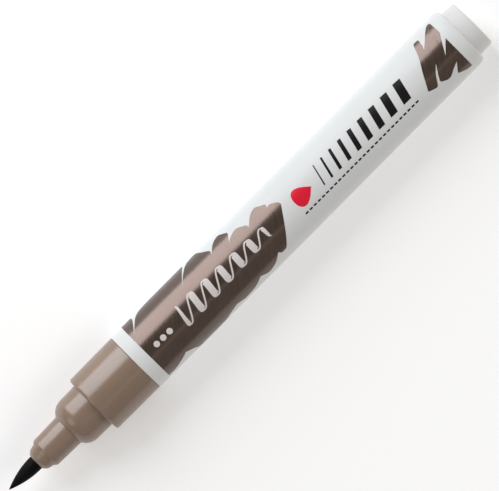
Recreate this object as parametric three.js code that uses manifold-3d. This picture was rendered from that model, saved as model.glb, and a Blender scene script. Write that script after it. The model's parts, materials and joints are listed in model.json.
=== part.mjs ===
// A brush marker for calligraphy, without its cap, lying on its side on a table.
//
// +X runs along the pen from the writing tip to the rear end, +Z is up, and the origin is on the table
// under the middle of the pen's length. The barrel is a thin tube that holds a fibre ink reservoir. The
// front section pushes into one end of it and carries the brush nib, and the end plug closes the other.
//
// Every turned piece is a lathe about its own local Y axis. Its profile starts at the piece's front end,
// the end towards the writing tip, at y = 0. The pen's group lays that axis down along X.

import * as THREE from "three";
import { mergeVertices } from "three/addons/utils/BufferGeometryUtils.js";
import Module from "manifold-3d";

const wasm = await Module();
wasm.setup();

// ---- Driving dimensions, in millimetres ----

// Round pieces are polygons of this many sides, turned so that a flat side faces the table.
const SIDES = 48;
const ROD_SIDES = 24;
const TUBE_SIDES = 12;
const ROUND_STEPS = 4;

// Clearances.
const SLIDING_FIT = 0.1; // radial, between pieces that push together by hand
const BEAD_FIT = 0.04; // radial, between a sealing bead and its bore
const PART_LINE = 0.1; // between faces that meet end to end
const END_PLAY = 0.4; // between the ink reservoir and what stops it

// Brush nib: one rod of bonded fibre, parted where it starts to bend.
const TIP_EXPOSED = 8.5;
const NIB_RADIUS = 1.8;
const TIP_POWER = 2.1; // of the ogive that sharpens the tip
const TIP_POINT_RADIUS = 0.08;
const TIP_BALL_OFFSET = 0.9; // from the section's front face forward to the ball's centre
const NIB_ENTRY = 10.6; // how far the nib reaches into the reservoir
const NIB_TAIL_LENGTH = 2.4;
const NIB_TAIL_RADIUS = 1.0;

// Front section, from its front face back.
const NOSE_LENGTH = 2.1;
const NOSE_RIM = 0.45; // of the flat face round the nib
const NOSE_ROUND_LENGTH = 1.3;
const NOSE_FLARE = 0.85;
const NOSE_WALL = 1.0; // behind the nose, where its bore opens into the neck
const NECK_STEP = 0.58;
const NECK_BEVEL = 0.85;
const NECK_LENGTH = 8.0;
const NECK_WALL = 1.03;
const NECK_DRAFT = 0.17;
const NECK_RIBS = 4;
const NECK_RIB_WIDTH = 0.8;
const SHOULDER_STEP = 0.16;
const SHOULDER_RADIUS = 4.0; // of the round that leads up to the cap seat
const SEAT_LENGTH = 7.7;
const SEAT_DRAFT = 0.1;
const SEAT_WALL = 1.4;
const CAP_WALL = 1.57; // of the cap that slides over the seat and stops at the collar
const COLLAR_LENGTH = 13.2;
const COLLAR_INSET = 0.13; // of its front, from the barrel's outside
const COLLAR_DRAFT = 0.08;
const COLLAR_EDGE = 0.7;
const SPIGOT_LENGTH = 9.0;
const SPIGOT_WALL = 1.35;

// Barrel.
const BARREL_LENGTH = 101.7;
const BARREL_RADIUS = 7.65;
const BARREL_WALL = 1.1;
const BARREL_FRONT_EDGE = 0.25;
const BARREL_REAR_EDGE = 0.95;
const BARREL_RIBS = 6;
const BARREL_RIB_WIDTH = 0.9;

// The bead that seals a pushed-in piece.
const BEAD_WIDTH = 0.8;
const BEAD_RAMP = 0.2;

// Ink reservoir: a fibre bundle in a film sleeve, with a breather tube along its side.
const RESERVOIR_SEAT_DEPTH = 12; // of the seat inside the front section, from the spigot's end
const FILM_THICKNESS = 0.15;
const TUBE_RADIUS = 0.6;
const TUBE_BORE_RADIUS = 0.35;
const TUBE_GROOVE = 1.4; // width and depth of the groove that the tube lies in

// End plug.
const PLUG_LENGTH = 8.5;
const PLUG_WALL = 1.15;
const PLUG_FLOOR = 1.3;
const PLUG_WEB = 0.9;
const BOSS_LENGTH = 3.6;
const BOSS_INSET = 0.17; // of the boss that shows, from the plug's pushed-in part
const BOSS_DRAFT = 0.2;
const BOSS_EDGE = 0.35;
const DISH_RIM = 1.6;
const DISH_DEPTH = 0.3;

// ---- What follows from them ----

// Radii, from the barrel's outside inwards.
const collarRadius = BARREL_RADIUS - COLLAR_INSET;
const seatRadius = collarRadius - CAP_WALL - SEAT_DRAFT;
const barrelBore = BARREL_RADIUS - BARREL_WALL;
const insertRadius = barrelBore - SLIDING_FIT;
const beadRadius = barrelBore - BEAD_FIT;
const reservoirBore = insertRadius - SPIGOT_WALL;
const reservoirRadius = reservoirBore - SLIDING_FIT;
const filmBore = reservoirRadius - FILM_THICKNESS;
const coreRadius = filmBore - SLIDING_FIT;
const plugBore = insertRadius - PLUG_WALL;
const bossRadius = insertRadius - BOSS_INSET;

// Radii, from the nib outwards.
const nibBore = NIB_RADIUS + SLIDING_FIT;
const noseFaceRadius = nibBore + NOSE_RIM;
const noseRadius = noseFaceRadius + NOSE_FLARE;
const neckRadius = noseRadius + NECK_STEP;
const neckBore = neckRadius - NECK_WALL;

// Places along the front section, from its front face.
const seatFront = NOSE_LENGTH + NECK_LENGTH;
const collarFront = seatFront + SEAT_LENGTH;
const sectionLength = collarFront + COLLAR_LENGTH;
const spigotRear = sectionLength + SPIGOT_LENGTH;
const reservoirSeat = spigotRear - RESERVOIR_SEAT_DEPTH;

// Places along the pen, from the writing tip.
const sectionFront = TIP_EXPOSED;
const barrelFront = sectionFront + sectionLength + PART_LINE;
const barrelRear = barrelFront + BARREL_LENGTH;
const overallLength = barrelRear + BOSS_LENGTH;
const plugFront = barrelRear - PLUG_LENGTH;
const reservoirFront = sectionFront + reservoirSeat + END_PLAY;
const reservoirLength = plugFront - END_PLAY - reservoirFront;
const ballCentre = sectionFront - TIP_BALL_OFFSET;
const shankFront = ballCentre + NIB_RADIUS + PART_LINE;
const shankLength = reservoirFront + NIB_ENTRY - shankFront;

// ---- Helpers ----

// A closed solid of revolution about Y. The profile is a list of [radius, y] pairs. Its outer side runs
// towards +y, so that the faces point out, and it starts and ends on the axis or closes on itself.
function turned(profile, sides = SIDES) {
  const points = profile.map(([radius, y]) => new THREE.Vector2(radius, y));
  return new THREE.LatheGeometry(points, sides, Math.PI / sides);
}

function turnedRing(innerRadius, outerRadius, length, sides = SIDES) {
  const start = [innerRadius, 0];
  return turned([start, [outerRadius, 0], [outerRadius, length], [innerRadius, length], start], sides);
}

// Points strictly between two profile points, on a quarter round that leaves the first one across the
// axis, or along it.
function quarterRound(from, to, leaves) {
  return Array.from({ length: ROUND_STEPS - 1 }, (_, i) => {
    const angle = ((i + 1) / ROUND_STEPS) * (Math.PI / 2);
    const early = Math.sin(angle);
    const late = 1 - Math.cos(angle);
    const [across, along] = leaves === "across" ? [early, late] : [late, early];
    return [from[0] + (to[0] - from[0]) * across, from[1] + (to[1] - from[1]) * along];
  });
}

// The outside of a pushed-in sleeve with a sealing bead round it.
function beadedSleeve(front, rear, beadFront) {
  return [
    [insertRadius, front],
    [insertRadius, beadFront],
    [beadRadius, beadFront + BEAD_RAMP],
    [beadRadius, beadFront + BEAD_WIDTH - BEAD_RAMP],
    [insertRadius, beadFront + BEAD_WIDTH],
    [insertRadius, rear],
  ];
}

// A block between two radii, centred on a direction at an angle round Y.
function radialBlock(inner, outer, width, front, rear, angle) {
  const block = new THREE.BoxGeometry(width, rear - front, outer - inner);
  block.translate(0, (front + rear) / 2, (inner + outer) / 2);
  return block.rotateY(angle);
}

function ribsRound(count, inner, outer, width, front, rear) {
  return Array.from({ length: count }, (_, i) => {
    const angle = ((i + 0.5) / count) * 2 * Math.PI;
    return toSolid(radialBlock(inner, outer, width, front, rear, angle));
  });
}

function toSolid(geometry) {
  const bare = geometry.clone();
  bare.deleteAttribute("normal");
  bare.deleteAttribute("uv");
  const merged = mergeVertices(bare);
  return new wasm.Manifold(
    new wasm.Mesh({
      numProp: 3,
      vertProperties: merged.attributes.position.array,
      triVerts: new Uint32Array(merged.index.array),
    }),
  );
}

function toGeometry(solid) {
  const { vertProperties, triVerts } = solid.getMesh();
  const geometry = new THREE.BufferGeometry();
  geometry.setAttribute("position", new THREE.BufferAttribute(vertProperties, 3));
  geometry.setIndex(new THREE.BufferAttribute(triVerts, 1));
  geometry.computeVertexNormals();
  return geometry;
}

const joined = (body, additions) =>
  toGeometry(additions.reduce((whole, addition) => whole.add(addition), toSolid(body)));

// ---- The pieces, each in its own frame ----

// The part of the nib that shows: an ogive whose root is a ball. It turns about the ball's centre.
function brushTip() {
  const steps = 12;
  const ogive = Array.from({ length: steps }, (_, i) => {
    const fullness = 1 - Math.pow(1 - i / steps, TIP_POWER);
    return [TIP_POINT_RADIUS + (NIB_RADIUS - TIP_POINT_RADIUS) * fullness, (ballCentre * i) / steps];
  });
  const ballFront = [NIB_RADIUS, ballCentre];
  const ballRear = [0, ballCentre + NIB_RADIUS];
  const ball = [ballFront, ...quarterRound(ballFront, ballRear, "along"), ballRear];
  return turned([[0, 0], ...ogive, ...ball], ROD_SIDES);
}

// The rest of the nib: a rod with a blunt tail inside the reservoir.
function nibShank() {
  const profile = [
    [0, 0],
    [NIB_RADIUS, 0],
    [NIB_RADIUS, shankLength - NIB_TAIL_LENGTH],
    [NIB_TAIL_RADIUS, shankLength],
    [0, shankLength],
  ];
  return turned(profile, ROD_SIDES);
}

// The round that rises from the neck to the cap seat, which it meets without an edge.
function shoulderRound() {
  const start = neckRadius + NECK_DRAFT + SHOULDER_STEP;
  const lean = Math.acos(1 - (seatRadius - start) / SHOULDER_RADIUS);
  const rear = seatFront + SHOULDER_RADIUS * Math.sin(lean);
  return Array.from({ length: ROUND_STEPS + 1 }, (_, i) => {
    const angle = lean * (1 - i / ROUND_STEPS);
    const drop = SHOULDER_RADIUS * (1 - Math.cos(angle));
    return [seatRadius - drop, rear - SHOULDER_RADIUS * Math.sin(angle)];
  });
}

// One moulding: nose, neck, cap seat and collar, and the spigot that pushes into the barrel.
function frontSection() {
  const noseFace = [noseFaceRadius, 0];
  const noseSide = [noseRadius, NOSE_ROUND_LENGTH];
  const collarFace = [collarRadius - COLLAR_EDGE, collarFront];
  const collarSide = [collarRadius, collarFront + COLLAR_EDGE];
  const outside = [
    noseFace,
    ...quarterRound(noseFace, noseSide, "across"),
    noseSide,
    [noseRadius, NOSE_LENGTH],
    [neckRadius, NOSE_LENGTH + NECK_BEVEL],
    [neckRadius + NECK_DRAFT, seatFront],
    ...shoulderRound(),
    [seatRadius + SEAT_DRAFT, collarFront],
    collarFace,
    ...quarterRound(collarFace, collarSide, "across"),
    collarSide,
    [collarRadius + COLLAR_DRAFT, sectionLength],
    ...beadedSleeve(sectionLength, spigotRear, sectionLength + SPIGOT_LENGTH / 2),
  ];
  const cavityRadius = seatRadius - SEAT_WALL;
  const coneFront = seatFront + SEAT_WALL;
  const coneRear = coneFront + cavityRadius - neckBore;
  const noseRear = NOSE_LENGTH + NOSE_WALL;
  const inside = [
    [reservoirBore, spigotRear],
    [reservoirBore, reservoirSeat],
    [cavityRadius, reservoirSeat],
    [cavityRadius, coneRear],
    [neckBore, coneFront],
    [neckBore, noseRear],
    [nibBore, noseRear],
    [nibBore, 0],
  ];
  const ribOutside = neckBore + NECK_WALL / 2;
  const ribFront = noseRear - NOSE_WALL / 2;
  const ribs = ribsRound(NECK_RIBS, nibBore, ribOutside, NECK_RIB_WIDTH, ribFront, coneFront);
  return joined(turned([[nibBore, 0], ...outside, ...inside]), ribs);
}

// A tube with ribs inside that hold the reservoir and leave air beside it.
function barrel() {
  const frontFace = [BARREL_RADIUS - BARREL_FRONT_EDGE, 0];
  const frontSide = [BARREL_RADIUS, BARREL_FRONT_EDGE];
  const rearSide = [BARREL_RADIUS, BARREL_LENGTH - BARREL_REAR_EDGE];
  const rearFace = [BARREL_RADIUS - BARREL_REAR_EDGE, BARREL_LENGTH];
  const tube = turned([
    [barrelBore, 0],
    frontFace,
    ...quarterRound(frontFace, frontSide, "across"),
    frontSide,
    rearSide,
    ...quarterRound(rearSide, rearFace, "along"),
    rearFace,
    [barrelBore, BARREL_LENGTH],
    [barrelBore, 0],
  ]);
  const ribOutside = barrelBore + BARREL_WALL / 2;
  const ribFront = SPIGOT_LENGTH + END_PLAY;
  const ribRear = BARREL_LENGTH - PLUG_LENGTH - END_PLAY;
  const ribs = ribsRound(
    BARREL_RIBS,
    reservoirBore,
    ribOutside,
    BARREL_RIB_WIDTH,
    ribFront,
    ribRear,
  );
  return joined(tube, ribs);
}

// The fibre bundle, with a socket for the nib and a groove for the breather tube.
function reservoirCore() {
  const socketDepth = NIB_ENTRY + END_PLAY;
  const bundle = turned([
    [0, socketDepth],
    [nibBore, socketDepth],
    [nibBore, 0],
    [coreRadius, 0],
    [coreRadius, reservoirLength],
    [0, reservoirLength],
  ]);
  const past = TUBE_GROOVE; // how far the cutter runs out of the bundle
  const groove = radialBlock(
    coreRadius - TUBE_GROOVE,
    coreRadius + past,
    TUBE_GROOVE,
    -past,
    reservoirLength + past,
    Math.PI / 2,
  );
  return toGeometry(toSolid(bundle).subtract(toSolid(groove)));
}

// A cup that pushes into the barrel, with a crossed web inside that stops the reservoir.
function endPlug() {
  const length = PLUG_LENGTH + BOSS_LENGTH;
  const floor = length - PLUG_FLOOR;
  const bossSide = [bossRadius - BOSS_DRAFT, length - BOSS_EDGE];
  const bossFace = [bossSide[0] - BOSS_EDGE, length];
  const dishRadius = bossFace[0] - DISH_RIM;
  const cup = turned([
    [0, floor],
    [plugBore, floor],
    [plugBore, 0],
    ...beadedSleeve(0, PLUG_LENGTH - PART_LINE, PLUG_LENGTH / 3),
    [bossRadius, PLUG_LENGTH],
    bossSide,
    ...quarterRound(bossSide, bossFace, "along"),
    bossFace,
    [dishRadius, length],
    [dishRadius - DISH_DEPTH, length - DISH_DEPTH],
    [0, length - DISH_DEPTH],
  ]);
  const reach = plugBore + PLUG_WALL / 2;
  const webRear = floor + PLUG_FLOOR / 2;
  const webs = [0, Math.PI / 2].map((angle) =>
    toSolid(radialBlock(-reach, reach, PLUG_WEB, 0, webRear, angle)),
  );
  return joined(cup, webs);
}

// ---- Materials ----

const material = (color, roughness) =>
  new THREE.MeshStandardMaterial({ color, roughness, metalness: 0 });
const whitePlastic = material("#dfe3e5", 0.3);
const taupePlastic = material("#7d6a5c", 0.3);
const inkedFibre = material("#0b0b0c", 0.8);
const coreFibre = material("#5a5654", 0.95);
const clearFilm = material("#d8dcdd", 0.2);
const tubePlastic = material("#eef0f0", 0.4);

// ---- The assembly ----

const pen = new THREE.Group();

function place(name, geometry, finish, y, x = 0) {
  const mesh = new THREE.Mesh(geometry, finish);
  mesh.name = name;
  mesh.position.set(x, y, 0);
  pen.add(mesh);
}

const film = turnedRing(filmBore, reservoirRadius, reservoirLength);
const breatherTube = turnedRing(TUBE_BORE_RADIUS, TUBE_RADIUS, reservoirLength, TUBE_SIDES);

place("brush_tip", brushTip(), inkedFibre, 0);
place("nib_shank", nibShank(), inkedFibre, shankFront);
place("front_section", frontSection(), taupePlastic, sectionFront);
place("barrel", barrel(), whitePlastic, barrelFront);
place("reservoir_core", reservoirCore(), coreFibre, reservoirFront);
place("reservoir_film", film, clearFilm, reservoirFront);
place("breather_tube", breatherTube, tubePlastic, reservoirFront, coreRadius - TUBE_GROOVE / 2);
place("end_plug", endPlug(), whitePlastic, plugFront);

// Lay the pen down along X, its middle over the origin and a flat side of the barrel on the table.
pen.rotation.z = -Math.PI / 2;
pen.position.set(-overallLength / 2, 0, BARREL_RADIUS * Math.cos(Math.PI / SIDES));

const part = new THREE.Group();
part.add(pen);

export default part;
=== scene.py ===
# %% [markdown]
# # A brush marker for calligraphy
#
# The marker lies on a pale table with its cap off: a dark fibre brush tip, a taupe front section, a white
# barrel with ink printed on it, and a white end plug. Every plastic piece of it came out of a round mould,
# so nearly everything here is one outline spun about the pen's axis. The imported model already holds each
# piece at its size and place. This script gives each one its fine shape and its finish.

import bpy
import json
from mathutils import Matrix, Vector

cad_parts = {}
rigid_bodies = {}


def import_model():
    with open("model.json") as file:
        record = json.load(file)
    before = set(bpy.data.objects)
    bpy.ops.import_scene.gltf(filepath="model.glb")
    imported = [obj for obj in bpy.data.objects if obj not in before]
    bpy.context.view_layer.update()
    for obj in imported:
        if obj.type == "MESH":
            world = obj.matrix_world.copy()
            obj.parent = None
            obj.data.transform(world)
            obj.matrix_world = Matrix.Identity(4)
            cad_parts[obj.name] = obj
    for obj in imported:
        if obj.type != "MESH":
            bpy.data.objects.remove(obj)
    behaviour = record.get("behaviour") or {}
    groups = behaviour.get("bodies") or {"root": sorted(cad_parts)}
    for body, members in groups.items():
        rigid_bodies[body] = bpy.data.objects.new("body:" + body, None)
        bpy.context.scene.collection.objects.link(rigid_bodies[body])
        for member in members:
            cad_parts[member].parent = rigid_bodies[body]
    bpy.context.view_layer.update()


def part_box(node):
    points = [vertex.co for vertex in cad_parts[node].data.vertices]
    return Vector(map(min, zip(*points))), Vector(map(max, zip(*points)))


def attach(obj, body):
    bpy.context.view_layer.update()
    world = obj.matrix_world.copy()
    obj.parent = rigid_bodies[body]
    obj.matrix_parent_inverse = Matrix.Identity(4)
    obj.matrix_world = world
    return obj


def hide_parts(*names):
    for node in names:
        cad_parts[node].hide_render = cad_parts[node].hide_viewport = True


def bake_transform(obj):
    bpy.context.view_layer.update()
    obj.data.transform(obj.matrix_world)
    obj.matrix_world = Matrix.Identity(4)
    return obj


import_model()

# %% [markdown]
# All sizes below are in millimetres, as a pen maker would write them, and `MM` turns them into metres. The
# pen's axis runs along X at one height. The barrel's box gives that height and its outer radius.

# %% The pen's axis
import json
import math

import bpy
from mathutils import Vector

MM = 0.001


def length_of(low_and_high):
    low, high = low_and_high
    return (high.x - low.x) / MM


barrel_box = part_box("barrel")
axis_height = (barrel_box[0].z + barrel_box[1].z) / 2
barrel_radius = (barrel_box[1].y - barrel_box[0].y) / 2 / MM
pen_axis = Vector((0, 0, axis_height))
print(f"axis {axis_height / MM:.3f} mm up, barrel {2 * barrel_radius:.2f} mm across")

# %% [markdown]
# ## Spinning a piece
#
# A round piece could start as a cylinder with many cuts. It is quicker to draw half of its section, point
# by point, and spin that once round the axis, as a lathe does. A single point comes from a small plane
# whose corners are merged. Each further point is an extrusion of the last one. After the spin the first
# and last copies of the outline lie on each other, so doubles are merged, and then the faces are made to
# point outwards. An outline that closes on itself gives a tube with its wall, and one that starts and ends
# on the axis gives a solid.


# %% A lathe
def deselect():
    if bpy.context.mode != "OBJECT":
        bpy.ops.object.mode_set(mode="OBJECT")
    bpy.ops.object.select_all(action="DESELECT")


def select_only(piece):
    deselect()
    piece.select_set(True)
    bpy.context.view_layer.objects.active = piece


def start_point(name):
    """A new piece in edit mode that is one selected point at the world's middle."""
    deselect()
    bpy.ops.mesh.primitive_plane_add(size=MM)
    piece = bpy.context.object
    piece.name = name
    piece.data.name = name
    bpy.ops.object.mode_set(mode="EDIT")
    bpy.ops.mesh.merge(type="CENTER")
    return piece


def draw_through(points):
    """Moves the selected point from the world's middle to the first point, and extrudes it to the rest."""
    here = Vector()
    for count, there in enumerate(points):
        step = {"value": there - here}
        if count == 0:
            bpy.ops.transform.translate(**step)
        else:
            bpy.ops.mesh.extrude_region_move(TRANSFORM_OT_translate=step)
        here = there


def close_up(piece):
    """Merges doubles, turns the faces outwards, leaves edit mode and smooths all but the sharp edges."""
    bpy.ops.mesh.select_all(action="SELECT")
    bpy.ops.mesh.remove_doubles(threshold=0.0005 * MM)
    bpy.ops.mesh.normals_make_consistent(inside=False)
    bpy.ops.object.mode_set(mode="OBJECT")
    bpy.ops.object.shade_smooth_by_angle(angle=math.radians(30))


def turned(name, front, outline, sides=144):
    """Spins an outline of (distance behind the front, radius) about the pen's axis."""
    piece = start_point(name)
    points = []
    for distance, radius in outline:
        points.append(Vector((front + distance * MM, 0, axis_height + radius * MM)))
    draw_through(points)
    bpy.ops.mesh.select_all(action="SELECT")
    bpy.ops.mesh.spin(steps=sides, angle=math.tau, center=pen_axis, axis=(1, 0, 0))
    close_up(piece)
    print(f"{name}: {len(piece.data.polygons)} faces")
    return piece


# %% [markdown]
# Moulded corners are never sharp. In the outlines a corner may carry a third number, its reach: how far
# before and after the corner the outline leaves the straight line. The corner is then replaced by a short
# curve that is pulled towards it.


# %% Round corners in an outline
def rounded(corners, steps=6):
    """An outline through the corners, with each one that has a reach made round."""
    outline = []
    for count, corner in enumerate(corners):
        point = Vector(corner[:2])
        if len(corner) == 2:
            outline.append(point)
            continue
        reach = corner[2]
        before = Vector(corners[count - 1][:2])
        after = Vector(corners[(count + 1) % len(corners)][:2])
        start = point + (before - point).normalized() * reach
        end = point + (after - point).normalized() * reach
        for step in range(steps + 1):
            t = step / steps
            outline.append(start * (1 - t) ** 2 + point * 2 * t * (1 - t) + end * t**2)
    return outline


# %% [markdown]
# ## Writing a finish
#
# A finish is a few nodes in front of one Principled shader. Written as sums it stays readable, so `Number`
# wraps a socket and lets plus and times build the Math nodes, also with a plain number in front.
# `Finish.node` makes any other node. What is the same all over the surface is set on the shader itself.


# %% Finishes as sums
class Number:
    """The value of a socket, for plain arithmetic."""

    def __init__(self, finish, socket):
        self.finish = finish
        self.socket = socket

    def math(self, operation, first, second):
        return self.finish.node("ShaderNodeMath", {"operation": operation}, {0: first, 1: second})

    def __add__(self, other):
        return self.math("ADD", self, other)

    def __radd__(self, other):
        return self.math("ADD", other, self)

    def __mul__(self, other):
        return self.math("MULTIPLY", self, other)

    def __rmul__(self, other):
        return self.math("MULTIPLY", other, self)


class Finish:
    """A material, and short words for the nodes that it is made of."""

    def __init__(self, name, **same_all_over):
        self.material = bpy.data.materials.new(name)
        self.material.use_nodes = True
        self.tree = self.material.node_tree
        self.shader = self.tree.nodes["Principled BSDF"]
        self.set(**same_all_over)
        self.place = self.node("ShaderNodeTexCoord", {}, {}, "Object")

    def feed(self, socket, value):
        if isinstance(value, Number):
            self.tree.links.new(value.socket, socket)
        elif isinstance(value, (tuple, list)) and len(value) == 3 and socket.type == "RGBA":
            socket.default_value = (*value, 1.0)
        else:
            socket.default_value = value

    def node(self, kind, settings, sockets, output=0):
        new = self.tree.nodes.new(kind)
        for setting, value in settings.items():
            setattr(new, setting, value)
        for socket, value in sockets.items():
            self.feed(new.inputs[socket], value)
        return Number(self, new.outputs[output])

    def stretched(self, along, across):
        """The place, scaled along the pen and across it."""
        scale = (along, across, across)
        return self.node("ShaderNodeMapping", {}, {"Vector": self.place, "Scale": scale})

    def noise(self, scale, detail=2.0, roughness=0.5, place=None):
        sockets = {
            "Vector": place or self.place,
            "Scale": scale,
            "Detail": detail,
            "Roughness": roughness,
        }
        return self.node("ShaderNodeTexNoise", {"noise_dimensions": "3D"}, sockets)

    def between(self, value, low, high):
        """0 below low, 1 above high, and smooth between them."""
        settings = {"interpolation_type": "SMOOTHSTEP"}
        sockets = {"Value": value, "From Min": low, "From Max": high, "To Min": 0.0, "To Max": 1.0}
        return self.node("ShaderNodeMapRange", settings, sockets)

    def blended(self, factor, first, second):
        """One colour turning into another as the factor goes from 0 to 1."""
        sockets = {0: factor, 6: first, 7: second}
        return self.node("ShaderNodeMix", {"data_type": "RGBA"}, sockets, 2)

    def relief(self, height, depth, under=None):
        """The surface's fine ups and downs, depth millimetres deep."""
        sockets = {"Height": height, "Distance": depth * MM, "Strength": 1.0}
        if under is not None:
            sockets["Normal"] = under
        return self.node("ShaderNodeBump", {}, sockets)

    def set(self, **sockets):
        for socket, value in sockets.items():
            self.feed(self.shader.inputs[socket.replace("_", " ")], value)

    def on(self, piece, slot):
        piece.data.materials.clear()
        piece.data.materials.append(self.material)
        print(f"{piece.name}: {self.material.name} of {len(self.tree.nodes)} nodes")


# %% [markdown]
# ## The brush nib
#
# The nib is one rod of bonded fibre, ground to a point. The ink has turned it nearly black. The packed
# model parts it in two so that it can hinge. Here it is one unbroken rod, because a real nib has no seam.
# The point is an ogive: full behind, ever thinner towards the tip. The rings of points are close together
# from just in front of the imported model's hinge to just behind it.

# %% The nib's rod
nib_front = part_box("brush_tip")[0].x
section_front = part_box("front_section")[0].x
nib_length = (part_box("nib_shank")[1].x - nib_front) / MM
nib_radius = 1.8
tip_radius = 0.05
point_length = 8.4
point_rings = 28

nib_outline = [(0, 0), (0, tip_radius)]
for ring in range(1, point_rings + 1):
    distance = point_length * ring / point_rings
    fullness = 1 - (1 - distance / point_length) ** 2.1
    nib_outline.append((distance, tip_radius + (nib_radius - tip_radius) * fullness))
nib_outline += [(8.8, nib_radius), (9.2, nib_radius), (9.6, nib_radius), (10, nib_radius)]
nib_outline += [(nib_length - 2.4, nib_radius), (nib_length, 1.0), (nib_length, 0)]
brush_nib = turned("brush_nib", nib_front, nib_outline, sides=72)

# %% [markdown]
# Wet fibre is dark and dull, with fine lines along the rod and a soft shine where the ink stands on it.
# The lines are noise that is stretched along the pen. They drive the colour, the roughness and the relief
# together, so that a raised fibre is also the lighter and drier one.

# %% Inked fibre
inked_fibre = Finish("inked fibre", Specular_IOR_Level=0.08)
fibre_lines = inked_fibre.noise(1.0, detail=3.0, place=inked_fibre.stretched(160, 5200))
clumps = inked_fibre.noise(1.0, detail=2.0, place=inked_fibre.stretched(120, 900))
dryness = inked_fibre.between(fibre_lines * 0.7 + clumps * 0.3, 0.42, 0.68)
inked_fibre.set(
    Base_Color=inked_fibre.blended(dryness, (0.002, 0.002, 0.002), (0.009, 0.0085, 0.009)),
    Roughness=0.48 + dryness * 0.3,
    Normal=inked_fibre.relief(fibre_lines + clumps * 0.5, 0.05),
)
inked_fibre.on(brush_nib, "nib_fibre")
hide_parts("nib_shank", "brush_tip")
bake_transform(brush_nib)

# %% [markdown]
# ## The front section
#
# One moulding holds the nib and closes the barrel. From the front: a short nose round the nib, a bevel up
# to the neck, a round shoulder, the seat that the cap grips, the collar that the cap stops against, and a
# spigot with a sealing bead inside the barrel. The outline goes round the outside and back through the
# bore, so the spin gives the whole wall at once. The reservoir stands in the widest stretch of the bore.

# %% The front section's outline
collar_radius = barrel_radius - 0.11
seat_radius = collar_radius - 1.67
spigot_radius = 6.45
bead_radius = 6.51
reservoir_room = 5.1
neck_bore = 2.75
nose_bore = 1.9
nose_wall = 3.1
ribs_from = nose_wall + 0.25
outside = [
    (0, 1.99),
    (0.78, 2.82, 0.35),
    (2.08, 3.15),
    (2.16, 3.17),
    (2.95, 3.78, 0.16),
    (10.02, 3.95),
    (10.1, 4.1),
    (11.26, seat_radius, 2.05),
    (17.72, seat_radius + 0.1),
    (17.8, seat_radius + 0.16),
    (17.8, collar_radius, 0.62),
    (31.0, collar_radius + 0.07, 0.16),
    (31.0, spigot_radius),
    (35.5, spigot_radius),
    (35.7, bead_radius),
    (36.1, bead_radius),
    (36.3, spigot_radius),
    (40.0, spigot_radius, 0.3),
]
inside = [
    (40.0, reservoir_room),
    (28.0, reservoir_room),
    (28.0, 4.45),
    (13.2, 4.45, 0.4),
    (11.5, neck_bore, 0.4),
    (ribs_from, neck_bore),
    (nose_wall, neck_bore),
    (nose_wall, nose_bore),
    (0, nose_bore),
    (0, 1.99),
]
front_moulding = turned("front_section_moulding", section_front, rounded(outside + inside))

# %% [markdown]
# Four ribs in the neck centre the nib and let air past it. The faces of the bore that they stand on are
# selected by their place, extruded, and scaled towards the axis. The ribs stop a quarter of a millimetre
# short of the nose's wall, so that no two faces share a place. The same helper will raise the barrel's
# ribs.


# %% Ribs inside a bore
def raise_ribs(piece, bore, top, front, rear, count, half_angle):
    """Raises ribs from a bore to a smaller radius, between two places along the pen, in metres."""
    select_only(piece)
    spacing = 360 / count
    chosen = 0
    for face in piece.data.polygons:
        middle = face.center - pen_axis
        radius = math.hypot(middle.y, middle.z) / MM
        angle = math.degrees(math.atan2(middle.y, middle.z)) % spacing
        on_bore = abs(radius - bore) < 0.05 and front < middle.x < rear
        face.select = on_bore and abs(angle - spacing / 2) < half_angle
        chosen += face.select
    for edge in piece.data.edges:
        edge.select = False
    for vertex in piece.data.vertices:
        vertex.select = False
    bpy.ops.object.mode_set(mode="EDIT")
    bpy.ops.mesh.select_mode(type="FACE")
    bpy.ops.mesh.extrude_region_move()
    pull = top / bore
    bpy.ops.transform.resize(value=(1, pull, pull), center_override=pen_axis)
    bpy.ops.mesh.select_mode(type="VERT")
    close_up(piece)
    print(f"{piece.name}: {count} ribs on {chosen} faces")


neck_front = section_front + ribs_from * MM
neck_rear = section_front + 11.4 * MM
raise_ribs(front_moulding, neck_bore, nose_bore, neck_front, neck_rear, count=4, half_angle=8)

# %% [markdown]
# The front section is a warm grey-brown plastic with a satin shine. Coloured plastic is a little cloudy:
# the colour drifts slowly over a centimetre or so, and its skin has a very fine grain from the mould.
# Where the plastic flowed in there are faint streaks. Fine scratches from the cap run round the seat.

# %% Taupe plastic
taupe_plastic = Finish("taupe plastic", Specular_IOR_Level=0.66)
cloud = taupe_plastic.noise(95.0, detail=2.0)
flow = taupe_plastic.noise(1.0, detail=2.0, place=taupe_plastic.stretched(60, 420))
grain = taupe_plastic.noise(5200.0, detail=2.0, roughness=0.6)
cap_rub = taupe_plastic.noise(1.0, detail=2.0, place=taupe_plastic.stretched(6000, 130))
tone = cloud * 0.6 + flow * 0.4
taupe_plastic.set(
    Base_Color=taupe_plastic.blended(tone, (0.232, 0.158, 0.112), (0.28, 0.196, 0.142)),
    Roughness=0.19 + grain * 0.05 + cap_rub * 0.05,
    Normal=taupe_plastic.relief(grain * 0.7 + cap_rub * 0.3, 0.006),
)
taupe_plastic.on(front_moulding, "section_plastic")
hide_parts("front_section")
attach(front_moulding, "section")

# %% [markdown]
# ## The barrel
#
# The barrel is a plain tube, open in front, with a softly rounded rear edge that the plug stands out of.
# Its front meets the collar with no gap to speak of. Six ribs inside hold the ink reservoir clear of the
# wall.

# %% The barrel's tube
barrel_front = barrel_box[0].x
barrel_length = length_of(barrel_box)
barrel_bore = 6.55
meets_collar = -0.07
front_corners = [(meets_collar, barrel_bore), (meets_collar, barrel_radius, 0.2), (5, barrel_radius)]
barrel_outline = rounded(front_corners, steps=4)

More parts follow.
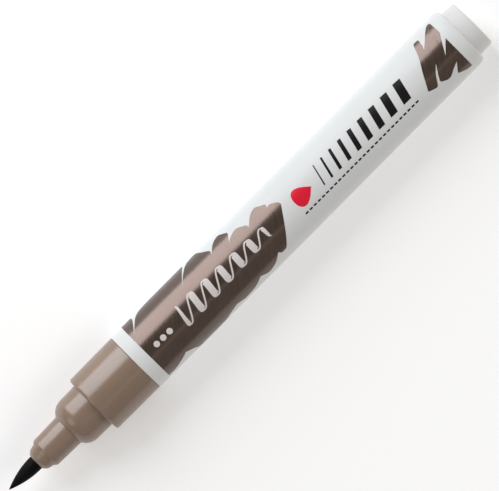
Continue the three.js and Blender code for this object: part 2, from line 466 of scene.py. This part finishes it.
rear_round_length = 1.75
rear_round_depth = 0.98
for angle in range(0, 91, 9):
    turn = math.radians(angle)
    distance = barrel_length - rear_round_length * (1 - math.sin(turn))
    barrel_outline.append((distance, barrel_radius - rear_round_depth * (1 - math.cos(turn))))

ribs_start = 9.4
ribs_end = barrel_length - 8.9
for distance in (barrel_length, ribs_end, ribs_start, meets_collar):
    barrel_outline.append((distance, barrel_bore))
barrel_tube = turned("barrel_tube", barrel_front, barrel_outline)
ribs_front = barrel_front + ribs_start * MM
ribs_rear = barrel_front + ribs_end * MM
raise_ribs(barrel_tube, barrel_bore, reservoir_room, ribs_front, ribs_rear, count=6, half_angle=5)

# %% [markdown]
# White plastic is not paper white. It is a slightly cold white with a gentle gloss. Light goes a little
# way in and comes out spread, so the barrel's brightness falls off slowly round its side. `Diffuse
# Roughness` gives that. A very slow waviness in the skin softens long reflections, and tiny specks in the
# plastic show close up.

# %% White plastic
def white_plastic(name, first, second, roughness):
    finish = Finish(name, Specular_IOR_Level=0.18, Diffuse_Roughness=0.7)
    cloud = finish.noise(70.0, detail=2.0)
    grain = finish.noise(4200.0, detail=2.0, roughness=0.6)
    waviness = finish.noise(1.0, detail=1.0, place=finish.stretched(35, 150))
    specks = finish.between(finish.noise(3400.0, detail=1.0), 0.72, 0.80)
    body = finish.blended(cloud, first, second)
    finish.set(
        Base_Color=finish.blended(specks * 0.12, body, (0.42, 0.40, 0.38)),
        Roughness=roughness + grain * 0.06,
        Normal=finish.relief(waviness, 0.02, under=finish.relief(grain, 0.005)),
    )
    return finish


barrel_white = white_plastic("white barrel plastic", (0.79, 0.803, 0.804), (0.815, 0.828, 0.829), 0.3)
barrel_white.on(barrel_tube, "barrel_plastic")
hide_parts("barrel")
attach(barrel_tube, "barrel")

# %% [markdown]
# ## The end plug
#
# The plug is a cup that is pushed into the barrel, with a low boss that shows. The boss has draft, so that
# it leaves its mould, and a shallow dish where the gate was cut off. A bead near the cup's mouth seals it
# in the barrel.

# %% The plug's cup
plug_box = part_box("end_plug")
plug_front = plug_box[0].x
plug_length = length_of(plug_box)
plug_outline = rounded(
    [
        (plug_length - 1.3, 0),
        (plug_length - 1.3, 5.3),
        (0, 5.3),
        (0, spigot_radius, 0.25),
        (2.83, spigot_radius),
        (3.03, bead_radius),
        (3.43, bead_radius),
        (3.63, spigot_radius),
        (8.4, spigot_radius),
        (8.4, 6.27),
        (plug_length, 6.07, 0.42),
        (plug_length, 4.1, 0.12),
        (plug_length - 0.3, 3.8, 0.12),
        (plug_length - 0.3, 0),
    ]
)
plug_moulding = turned("end_plug_moulding", plug_front, plug_outline)

# %% [markdown]
# A crossed web inside the cup stops the reservoir. Its two plates are boxes, and a Boolean joins each to
# the cup, so that it stays one closed mesh. The same helper will cut the groove in the reservoir.


# %% The plug's web
def apply_modifier(piece, kind, **settings):
    modifier = piece.modifiers.new(kind.lower(), kind)
    for setting, value in settings.items():
        setattr(modifier, setting, value)
    bpy.ops.object.modifier_apply(modifier=modifier.name)


def box_boolean(piece, operation, middle, size):
    """Joins a box to a piece, or cuts it out of the piece."""
    deselect()
    bpy.ops.mesh.primitive_cube_add(size=1, location=middle, scale=size)
    box = bpy.context.object
    bpy.ops.object.transform_apply(location=True, rotation=True, scale=True)
    select_only(piece)
    apply_modifier(piece, "BOOLEAN", operation=operation, solver="EXACT", object=box)
    bpy.data.objects.remove(box)


web_width = 11.6 * MM
web_thickness = 0.9 * MM
web_rear = plug_front + (plug_length - 0.65) * MM
web_middle = Vector(((plug_front + web_rear) / 2, 0, axis_height))
web_length = web_rear - plug_front
box_boolean(plug_moulding, "UNION", web_middle, (web_length, web_width, web_thickness))
box_boolean(plug_moulding, "UNION", web_middle, (web_length, web_thickness, web_width))
print(f"{plug_moulding.name}: {len(plug_moulding.data.polygons)} faces with its web")

# %% [markdown]
# The plug comes from another mould and batch than the barrel, and is a shade greyer and duller.

# %% The plug's plastic
plug_white = white_plastic("white plug plastic", (0.785, 0.783, 0.773), (0.81, 0.808, 0.798), 0.36)
plug_white.on(plug_moulding, "plug_plastic")
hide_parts("end_plug")
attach(plug_moulding, "plug")

# %% [markdown]
# ## The ink reservoir
#
# Inside the barrel lies a bundle of fibres, held by a thin film sleeve, with a narrow tube along one side
# that lets air back to the front. It shows only when the pen is taken apart. The bundle has a socket for
# the nib and a groove for the tube. A box cuts the groove, and slivers that the cut leaves are dissolved.

# %% The bundle, its sleeve and its air tube
reservoir_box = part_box("reservoir_film")
reservoir_front = reservoir_box[0].x
reservoir_length = length_of(reservoir_box)
tube_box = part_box("breather_tube")
tube_offset = (tube_box[0].y + tube_box[1].y) / 2
bundle_radius = 4.75
socket_radius = 1.9
socket_depth = 11.0
bundle_front = [(0, socket_radius), (0, bundle_radius, 0.2), (5, bundle_radius)]
bundle_rear = [(5, bundle_radius), (reservoir_length, bundle_radius, 0.2), (reservoir_length, 0)]
bundle_outline = [
    (socket_depth, 0),
    (socket_depth, socket_radius),
    (0, socket_radius),
    *rounded(bundle_front, steps=3)[1:-1],
    *rounded(bundle_rear, steps=3)[1:-1],
    (reservoir_length, 0),
]
fibre_bundle = turned("fibre_bundle", reservoir_front, bundle_outline, sides=96)
groove_middle = (reservoir_front + reservoir_length * MM / 2, tube_offset, axis_height)
groove_width = 1.4 * MM
groove_size = ((reservoir_length + 4) * MM, groove_width, groove_width)
box_boolean(fibre_bundle, "DIFFERENCE", groove_middle, groove_size)
bpy.ops.object.mode_set(mode="EDIT")
bpy.ops.mesh.select_all(action="SELECT")
bpy.ops.mesh.dissolve_degenerate(threshold=0.001 * MM)
bpy.ops.mesh.select_all(action="SELECT")
bpy.ops.mesh.delete_loose()
bpy.ops.object.mode_set(mode="OBJECT")


def pipe(name, bore, radius, sides):
    """A thin pipe as long as the reservoir."""
    outline = [(0, bore), (0, radius), (reservoir_length, radius), (reservoir_length, bore), (0, bore)]
    return turned(name, reservoir_front, outline, sides)


film_sleeve = pipe("film_sleeve", 4.85, 5.0, sides=96)
air_tube = pipe("air_tube", 0.35, 0.6, sides=24)
bpy.ops.object.mode_set(mode="EDIT")
bpy.ops.mesh.select_all(action="SELECT")
bpy.ops.transform.translate(value=(0, tube_offset, 0))
bpy.ops.object.mode_set(mode="OBJECT")

# %% [markdown]
# The bundle is soaked with ink, unevenly. The sleeve is a satin film whose lap seam shows as a faint line,
# and the tube is natural, milky plastic.

# %% Reservoir finishes
soaked_fibre = Finish("soaked fibre", Specular_IOR_Level=0.3)
fibres = soaked_fibre.noise(1.0, detail=3.0, place=soaked_fibre.stretched(90, 3000))
soak = soaked_fibre.noise(60.0, detail=3.0)
soaked_fibre.set(
    Base_Color=soaked_fibre.blended(fibres * 0.6 + soak * 0.4, (0.02, 0.015, 0.012), (0.30, 0.25, 0.21)),
    Roughness=0.75 + fibres * 0.2,
    Normal=soaked_fibre.relief(fibres, 0.12),
)
soaked_fibre.on(fibre_bundle, "core_fibre")
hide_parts("reservoir_core")
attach(fibre_bundle, "barrel")

sleeve_film = Finish("sleeve film", Specular_IOR_Level=0.5)
wrinkles = sleeve_film.noise(1.0, detail=3.0, place=sleeve_film.stretched(60, 700))
height_on_pen = sleeve_film.node("ShaderNodeSeparateXYZ", {}, {0: sleeve_film.place}, 2)
above_seam = sleeve_film.between(height_on_pen, axis_height + 4.93 * MM, axis_height + 4.96 * MM)
sleeve_film.set(
    Base_Color=sleeve_film.blended(above_seam, (0.52, 0.50, 0.47), (0.66, 0.64, 0.61)),
    Roughness=0.26 + wrinkles * 0.16,
    Normal=sleeve_film.relief(wrinkles + above_seam, 0.04),
)
sleeve_film.on(film_sleeve, "reservoir_film")
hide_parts("reservoir_film")
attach(film_sleeve, "barrel")

milky_plastic = Finish("milky tube plastic", Specular_IOR_Level=0.45)
milk = milky_plastic.noise(500.0, detail=2.0)
milky_plastic.set(
    Base_Color=milky_plastic.blended(milk, (0.62, 0.62, 0.60), (0.74, 0.74, 0.72)),
    Roughness=0.32 + milk * 0.1,
    Normal=milky_plastic.relief(milk, 0.01),
)
milky_plastic.on(air_tube, "tube_plastic")
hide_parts("breather_tube")
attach(air_tube, "barrel")

# %% [markdown]
# ## Printing on a round barrel
#
# The marks on the barrel are printed ink: thin, glossy, with crisp edges. A picture of them could be
# projected on the plastic, but real shapes keep their edges crisp at any distance and can each have their
# own finish. Each print is drawn flat, as on the printer's plate: along the pen in X, and round it in Z,
# measured over the curved surface from the barrel's top. A closed outline is filled with one face. A long
# thin shape is drawn as a ribbon of two edges, and the gap between them is bridged.


# %% Drawing a flat print
def flat_point(along, round_it):
    return Vector((nib_front + along * MM, 0, round_it * MM))


def next_point():
    """One more selected point at the world's middle, in the piece that is being drawn."""
    bpy.ops.mesh.select_all(action="DESELECT")
    bpy.ops.mesh.primitive_plane_add(size=MM)
    bpy.ops.mesh.merge(type="CENTER")


def fill_outline(outline):
    draw_through([flat_point(*point) for point in outline])
    bpy.ops.mesh.select_linked()
    bpy.ops.mesh.edge_face_add()


def bridge_ribbon(edges):
    """Draws a ribbon's two edges, each hidden while the next is drawn, and bridges them."""
    for edge in edges:
        next_point()
        draw_through([flat_point(*point) for point in edge])
        bpy.ops.mesh.select_linked()
        bpy.ops.mesh.hide(unselected=False)
    bpy.ops.mesh.reveal()
    bpy.ops.mesh.select_all(action="DESELECT")
    bpy.ops.mesh.select_mode(type="EDGE")
    left_out = ("use_boundary", "use_multi_face", "use_non_contiguous", "use_verts")
    bpy.ops.mesh.select_non_manifold(extend=False, use_wire=True, **dict.fromkeys(left_out, False))
    bpy.ops.mesh.bridge_edge_loops()
    bpy.ops.mesh.select_mode(type="VERT")


# %% [markdown]
# The flat shape is then cut into narrow strips so that it can curve, given its thickness, rolled up by a
# Simple Deform bend to the barrel's radius, and laid on top. A print reaches a hundredth of a millimetre
# into the barrel, so that no gap shows under its edge, and its skin stands three hundredths of a
# millimetre proud.


# %% Rolling a flat print round the barrel
def cut_into_strips(lowest, highest, widest=0.45 * MM):
    strips = math.ceil((highest - lowest) / widest)
    for strip in range(1, strips):
        bpy.ops.mesh.select_all(action="SELECT")
        line = lowest + (highest - lowest) * strip / strips
        bpy.ops.mesh.bisect(plane_co=(0, 0, line), plane_no=(0, 0, 1))


def printed(name, outlines, ribbons=(), under=-0.01, top=0.03, keep_behind=None):
    """Prints outlines of (distance from the tip, way round the barrel), between two heights over it."""
    plate = start_point(name)
    for count, outline in enumerate(outlines):
        if count > 0:
            next_point()
        fill_outline(outline)
    for ribbon in ribbons:
        bridge_ribbon(ribbon)
    bpy.ops.mesh.select_all(action="SELECT")
    bpy.ops.mesh.quads_convert_to_tris(quad_method="BEAUTY", ngon_method="BEAUTY")
    if keep_behind is not None:
        cut = (nib_front + keep_behind * MM, 0, 0)
        bpy.ops.mesh.select_all(action="SELECT")
        bpy.ops.mesh.bisect(plane_co=cut, plane_no=(1, 0, 0), clear_inner=True)
    bpy.ops.object.mode_set(mode="OBJECT")
    heights = [vertex.co.z for vertex in plate.data.vertices]
    lowest = min(heights)
    highest = max(heights)
    bpy.ops.object.mode_set(mode="EDIT")
    cut_into_strips(lowest, highest)
    bpy.ops.mesh.select_all(action="SELECT")
    bpy.ops.mesh.normals_make_consistent(inside=False)
    bpy.ops.transform.translate(value=(0, -(under + top) / 2 * MM, 0))
    bpy.ops.object.mode_set(mode="OBJECT")
    apply_modifier(plate, "SOLIDIFY", thickness=(top - under) * MM, offset=0)
    turn = (highest - lowest) / (barrel_radius * MM)
    apply_modifier(plate, "SIMPLE_DEFORM", deform_method="BEND", deform_axis="X", angle=turn)
    plate.rotation_euler = (math.radians(-90), 0, 0)
    plate.location = (0, 0, axis_height + barrel_radius * MM)
    bpy.ops.object.transform_apply(location=True, rotation=True, scale=True)
    bpy.ops.object.mode_set(mode="EDIT")
    close_up(plate)
    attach(plate, "barrel")
    shapes = len(outlines) + len(ribbons)
    print(f"{name}: {shapes} shapes, {len(plate.data.polygons)} faces")
    return plate


# %% [markdown]
# ## The brown patch
#
# The big print is a patch of the ink's colour, as if brushed on in slanted strokes that overlap. Their
# ends make a row of round tops along both edges, with sharp notches between them. The strokes lean, so the
# patch is drawn upright first and then slanted: every point moves along the pen by a share of its way
# round the barrel. Each stroke end has a steep side and a long, gentle one. The corners are softened as in
# the outlines above, and the notches stay sharp. In front a straight line cuts the patch off.

# %% Stroke ends and a slant
slant = 0.7
patch_front = 42.75
upper_ends = [
    [(36.5, 12.5, 2.0), (39.3, 9.4, 1.5), (40.2, 6.6, 0.9), (40.3, 4.4)],
    [(40.55, 6.6, 0.9), (40.3, 9.8, 1.4), (43.0, 13.2, 2.4), (51.0, 13.6, 3.0), (54.6, 10.5, 1.5)],
    [(55.3, 7.0, 1.2), (55.3, 3.7), (55.6, 7.0, 1.2), (55.8, 10.2, 1.0), (57.6, 11.2, 0.9)],
    [(60.8, 8.4, 1.5), (64.1, 6.3, 0.6), (64.5, 5.2), (64.95, 7.9, 0.8), (66.2, 8.4, 0.6)],
    [(69.6, 6.4, 0.5), (69.8, 4.0), (70.4, 5.0, 0.6), (72.0, 5.6, 0.8), (75.3, 4.1, 0.5)],
    [(75.9, 3.3), (76.5, 5.4, 0.7), (77.8, 6.0, 0.7), (81.3, 4.4, 0.35), (81.5, 3.5)],
    [(82.3, 3.75, 0.3), (84.7, 2.7, 0.5), (85.5, 1.9)],
]
lower_ends = [
    [(85.5, -6.6, 0.4), (84.2, -6.75, 0.5), (82.85, -5.75), (82.3, -7.7, 0.8)],
    [(80.8, -8.8, 1.0), (77.4, -7.2), (76.4, -8.9, 0.9), (73.8, -9.6, 1.2), (70.3, -8.4)],
    [(68.5, -9.4, 0.8), (67.8, -11.8, 1.0), (65.0, -13.2, 2.0), (60.5, -11.6, 1.5)],
    [(57.5, -8.9, 1.2), (54.05, -7.3), (53.2, -8.3, 0.6), (51.6, -9.5, 0.9), (27.0, -9.0)],
]
patch_corners = [(27.0, 12.0)]
for stroke_end in upper_ends + lower_ends:
    patch_corners += stroke_end
upright = rounded(patch_corners, steps=5)
patch_outline = [(along + slant * round_it, round_it) for along, round_it in upright]
ink_patch_print = printed("ink_patch_print", [patch_outline], keep_behind=patch_front)

# %% [markdown]
# ## The scribble at the rear
#
# Near the rear end the same ink makes a short zigzag of three strokes that a straight line cuts off. It is
# one outline, drawn corner by corner. The strokes' ends are soft, and the notches between them run to
# sharp points.

# %% The scribble
scribble_corners = [
    (127.05, -4.0, 0.35),
    (129.0, -0.2, 0.8),
    (131.0, 3.0, 1.2),
    (132.15, 6.7, 0.5),
    (133.65, 6.7, 0.6),
    (133.35, 4.6, 0.6),
    (132.95, 3.4),
    (134.4, 4.8, 0.8),
    (137.1, 8.15, 0.7),
    (138.0, 8.1, 0.5),
    (138.1, 3.7),
    (137.2, 2.3),
    (135.35, -0.95),
    (138.1, 1.85),
    (138.1, -7.75),
    (136.9, -7.6, 0.6),
    (134.55, -6.2, 0.6),
    (135.4, -4.9, 0.5),
    (136.25, -3.6),
    (134.6, -4.4, 0.8),
    (132.6, -5.75, 1.1),
    (130.45, -4.4, 0.6),
    (131.3, -2.7, 0.6),
    (132.7, -0.5),
    (130.9, -2.3, 0.8),
    (129.35, -4.95, 0.6),
]
scribble_outline = rounded(scribble_corners, steps=5)
scribble_print = printed("scribble_print", [scribble_outline])

# %% [markdown]
# The brown ink is very dark and glossy, like lacquer: it mirrors the light more strongly than the bare
# plastic, and its shine is warm. Faint streaks run along the slanted strokes, as if the brush that drew
# the original was running dry. Their noise is turned to the strokes' direction first and then stretched
# along it.

# %% Brown print
brown_print = Finish(
    "brown print",
    IOR=1.62,
    Specular_IOR_Level=0.84,
    Specular_Tint=(1.0, 0.765, 0.67),
)
to_the_strokes = (0, 0, math.radians(-55))
lean = brown_print.node(
    "ShaderNodeMapping", {}, {"Vector": brown_print.place, "Rotation": to_the_strokes}
)
streak_place = brown_print.node("ShaderNodeMapping", {}, {"Vector": lean, "Scale": (150, 1700, 300)})
streaks = brown_print.noise(1.0, detail=3.0, place=streak_place)
wash = brown_print.noise(160.0, detail=2.0)
print_tone = brown_print.between(streaks * 0.55 + wash * 0.45, 0.3, 0.72)
brown_print.set(
    Base_Color=brown_print.blended(print_tone, (0.028, 0.0175, 0.0122), (0.046, 0.031, 0.0235)),
    Roughness=0.2 + streaks * 0.08,
    Normal=brown_print.relief(streaks + wash, 0.004),
)
for piece in (ink_patch_print, scribble_print):
    brown_print.on(piece, "print_brown")

# %% [markdown]
# ## White marks on the patch
#
# On the patch the barrel's white shows again in two places. In front there are three dots, and behind them
# a pen flourish: a wave that a broad pen would draw, thick on the way down and thin on the way up, and
# flatter towards its end. A stroke of changing width is a ribbon with one edge on each side of its middle
# line. White ink lies on top of the brown, so it starts higher.


# %% Dots and a pen stroke
def disc(along, round_it, radius, points=28):
    turns = [math.tau * step / points for step in range(points)]
    return [(along + radius * math.cos(turn), round_it + radius * math.sin(turn)) for turn in turns]


def pen_stroke(middle, thin, thick):
    """The two edges of a stroke, broad where its middle line runs down and fine where it runs up."""
    points = [Vector(point) for point in middle]
    left = []
    right = []
    last = len(points) - 1
    for count, point in enumerate(points):
        ahead = points[min(count + 1, last)] - points[max(count - 1, 0)]
        direction = ahead.normalized()
        across = Vector((-direction.y, direction.x))
        pressure = max(0.0, -direction.y) ** 4
        taper = min(1.0, 0.2 + 8 * min(count, last - count) / last)
        half = (thin + (thick - thin) * pressure) * taper / 2
        left.append(tuple(point + across * half))
        right.append(tuple(point - across * half))
    return left, right


wave_start = 53.2
wave_length = 28.0
wave_turns = 6.5
wave_steps = 312
wave_middle = []
for step in range(wave_steps + 1):
    t = step / wave_steps
    phase = math.tau * wave_turns * t + math.pi / 2
    reach = 3.0 - 1.5 * t
    height = -0.2 + reach * (math.sin(phase) + 0.08 * math.sin(3 * phase))
    wave_middle.append((wave_start + wave_length * t + 0.35 * height, height))
flourish = pen_stroke(wave_middle, 0.38, 1.6)
dots = [disc(45.75 + 2.0 * count, -0.5, 0.72) for count in range(3)]
white_print = printed("white_print", dots, ribbons=[flourish], under=0.01, top=0.055)

# %% [markdown]
# ## Red and black marks
#
# Further back the barrel carries a red ink drop, a row of slanted strokes that grow from fine to broad, as
# a sample of what the brush can draw, and under both a row of small dashes.

# %% The drop, the sample strokes and the dashes
drop_points = 40
drop_outline = []
for step in range(drop_points):
    turn = math.tau * step / drop_points
    narrow = math.sin(turn / 2) ** 1.3
    drop_outline.append((91.65 + 2.6 * math.cos(turn), -0.15 + 3.1 * math.sin(turn) * narrow))
red_print = printed("red_print", [drop_outline])

sample_strokes = []
start = 96.4
lean_by = 1.15
for count in range(9):
    width = 0.32 + 0.24 * count
    low_end = [(start, -2.05), (start + width, -2.1)]
    top_end = [(start + lean_by + width, 2.85), (start + lean_by + 0.1, 2.95)]
    sample_strokes.append(low_end + top_end)
    start += width + 1.95
black_print = printed("black_print", sample_strokes)

dashes = []
for count in range(28):
    start = 89.1 + 1.27 * count
    end = start + 0.82
    dashes.append([(start, -3.95), (end, -3.95), (end, -3.55), (start, -3.55)])
dash_print = printed("dash_print", dashes)

# %% [markdown]
# These inks are the same kind of film as the brown one, so one small recipe makes all three. White ink is
# thin, and the dark patch under it greys it a little.


# %% White, red and black print
def print_ink(name, first, second, roughness, specular):
    finish = Finish(name, Specular_IOR_Level=specular)
    wash = finish.noise(420.0, detail=2.0)
    fine = finish.noise(3800.0, detail=2.0)
    finish.set(
        Base_Color=finish.blended(wash * 0.7 + fine * 0.3, first, second),
        Roughness=roughness + fine * 0.1,
        Normal=finish.relief(fine, 0.004),
    )
    return finish


white_ink = print_ink("white print", (0.66, 0.61, 0.595), (0.76, 0.715, 0.70), 0.3, 0.35)
white_ink.on(white_print, "print_white")
red_ink = print_ink("red print", (0.74, 0.006, 0.03), (0.84, 0.012, 0.044), 0.3, 0.3)
red_ink.on(red_print, "print_red")
black_ink = print_ink("black print", (0.007, 0.0066, 0.006), (0.012, 0.011, 0.0095), 0.34, 0.14)
black_ink.on(black_print, "print_black")
black_ink.on(dash_print, "print_black")

# %% [markdown]
# ## Table, camera and light
#
# The pen lies on a pale table, a fifth of a millimetre above it, so that the two never touch. The table
# glows faintly and stays nearly white in soft light. The camera looks straight down from well above with a
# very long lens, and is turned so that the pen runs from corner to corner.

# %% Table
deselect()
bpy.ops.mesh.primitive_plane_add(size=6, location=(0, 0, -0.2 * MM))
table = bpy.context.object
table.name = "table"
table_top = Finish("table top", Specular_IOR_Level=0.2, Roughness=0.7)
table_top.set(Base_Color=(0.9, 0.9, 0.9), Emission_Color=(1.0, 1.0, 1.0), Emission_Strength=0.24)
table.data.materials.append(table_top.material)
print(f"table {table.dimensions.x:.0f} m wide")

# %% Camera
camera_data = bpy.data.cameras.new("camera")
camera_data.sensor_width = 36
camera_data.lens = 786
camera_data.clip_end = 20
camera = bpy.data.objects.new("camera", camera_data)
camera.location = (3.0 * MM, 0.3 * MM, axis_height + 2.4)
camera.rotation_euler = (0, 0, math.radians(-45.22))
bpy.context.scene.collection.objects.link(camera)
bpy.context.scene.camera = camera
print(f"camera {camera.location.z:.1f} m up, {camera_data.lens:.0f} mm lens")

# %% [markdown]
# A round glossy rod shows each lamp as one long band. A bright soft box on the far side gives the band on
# the pen's upper half, with a clean lower edge. Right over the pen there is no lamp, so its middle stays
# dark. On the near side a dim card barely lifts the lower half, and a narrow strip gives the faint second
# line there. Two more soft boxes stand off the pen's ends. They light the white plastic without a band of
# their own, because a rod mirrors only what is beside it. Each lamp is a flat panel, set by the angles
# from straight up that its two edges are seen at from the pen.


# %% Light
def soft_box(name, turned_by, nearest, farthest, distance, long, brightness, colour):
    """A panel turned round the pen from its far side, between two angles from straight up, in degrees."""
    middle = math.radians((nearest + farthest) / 2)
    spread = math.radians((farthest - nearest) / 2)
    lamp = bpy.data.lights.new(name, "AREA")
    lamp.shape = "RECTANGLE"
    lamp.size = long
    lamp.size_y = 2 * distance * math.tan(spread)
    lamp.energy = brightness * math.pi * lamp.size * lamp.size_y
    lamp.color = colour
    panel = bpy.data.objects.new(name, lamp)
    panel.rotation_euler = (-middle, 0, math.radians(turned_by))
    panel.location = pen_axis + panel.rotation_euler.to_matrix() @ Vector((0, 0, distance))
    panel.visible_camera = False
    bpy.context.scene.collection.objects.link(panel)
    print(f"{name}: {lamp.size:.2f} x {lamp.size_y:.2f} m, {lamp.energy:.1f} W")


soft_box("far soft box", 0, 29.5, 86, 0.9, 0.42, 5.2, (0.95, 0.97, 1.0))
soft_box("near card", 180, 24, 84, 0.9, 1.6, 0.15, (1.0, 0.88, 0.78))
soft_box("near strip", 180, 26, 33, 0.9, 0.42, 0.55, (1.0, 0.93, 0.88))
soft_box("tip end soft box", 72, 36, 70, 1.0, 0.5, 1.4, (1.0, 0.96, 0.91))
soft_box("rear end soft box", -120, 36, 64, 1.0, 0.5, 2.6, (1.0, 0.96, 0.9))

world = bpy.data.worlds.new("room")
world.use_nodes = True
sky = world.node_tree.nodes["Background"]
sky.inputs["Color"].default_value = (1.0, 1.0, 1.0, 1.0)
sky.inputs["Strength"].default_value = 0.25
bpy.context.scene.world = world
bpy.context.scene.view_settings.view_transform = "Standard"
